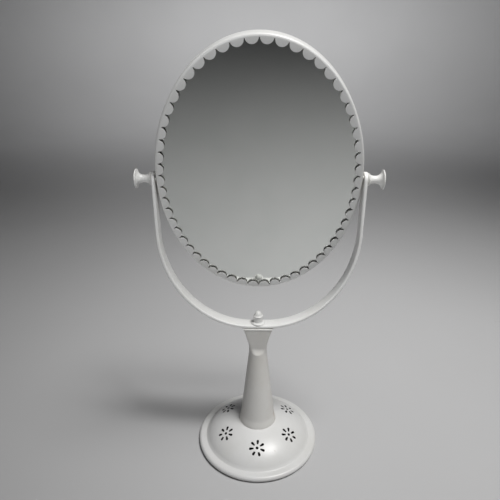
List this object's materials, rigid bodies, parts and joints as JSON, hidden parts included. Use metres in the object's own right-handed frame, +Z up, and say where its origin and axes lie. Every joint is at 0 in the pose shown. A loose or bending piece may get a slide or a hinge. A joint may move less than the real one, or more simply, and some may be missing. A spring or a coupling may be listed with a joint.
{
  "type": "table-top dressing mirror",
  "caption": "Free-standing dressing-table mirror: an oval mirror in a scalloped hoop, tilting in a U-shaped yoke on a tapered stem and a pierced domed base.",
  "frame": {"origin": "middle of the underside of the felt that the base stands on", "axes": "+Z up, -Y the way the mirror faces, X along the tilt axis through the two knobs"},
  "size_m": [0.221, 0.13, 0.417],
  "materials": {
    "white_paint": "warm white semi-gloss stove paint with faint orange peel",
    "silvered_glass": "clear float glass, silvered on its back",
    "cast_iron": "rough black casting",
    "felt": "dark pressed wool felt",
    "backing_pad": "soft grey-brown fibre pad",
    "zinc_steel": "zinc-plated steel, dull bright"
  },
  "bodies": {
    "stand": {"base_dome": "white_paint", "base_ballast": "cast_iron", "base_felt": "felt", "stem": "white_paint", "saddle_plate": "white_paint", "tie_rod": "zinc_steel", "tie_rod_washer": "zinc_steel", "tie_rod_nut": "zinc_steel", "yoke": "white_paint", "finial_washer": "white_paint", "finial_nut": "white_paint", "left_friction_washer": "white_paint", "right_friction_washer": "white_paint"},
    "head": {"hoop": "white_paint", "mirror_glass": "silvered_glass", "backing_pad": "backing_pad", "back_cover": "white_paint", "left_pivot_nut": "zinc_steel", "right_pivot_nut": "zinc_steel", "left_spacer_washer": "zinc_steel", "right_spacer_washer": "zinc_steel"},
    "left_knob": {"left_knob": "white_paint"},
    "right_knob": {"right_knob": "white_paint"}
  },
  "joints": [
    {"name": "head_tilt", "type": "hinge", "parent": "stand", "child": "head", "pos_m": [0, 0, 0.29686], "axis": [1, 0, 0], "continuous": true},
    {"name": "left_knob_turn", "type": "hinge", "parent": "head", "child": "left_knob", "pos_m": [-0.0969, 0, 0.29686], "axis": [-1, 0, 0], "range_deg": [0, 360]},
    {"name": "right_knob_turn", "type": "hinge", "parent": "head", "child": "right_knob", "pos_m": [0.0969, 0, 0.29686], "axis": [1, 0, 0], "range_deg": [0, 360]}
  ]
}
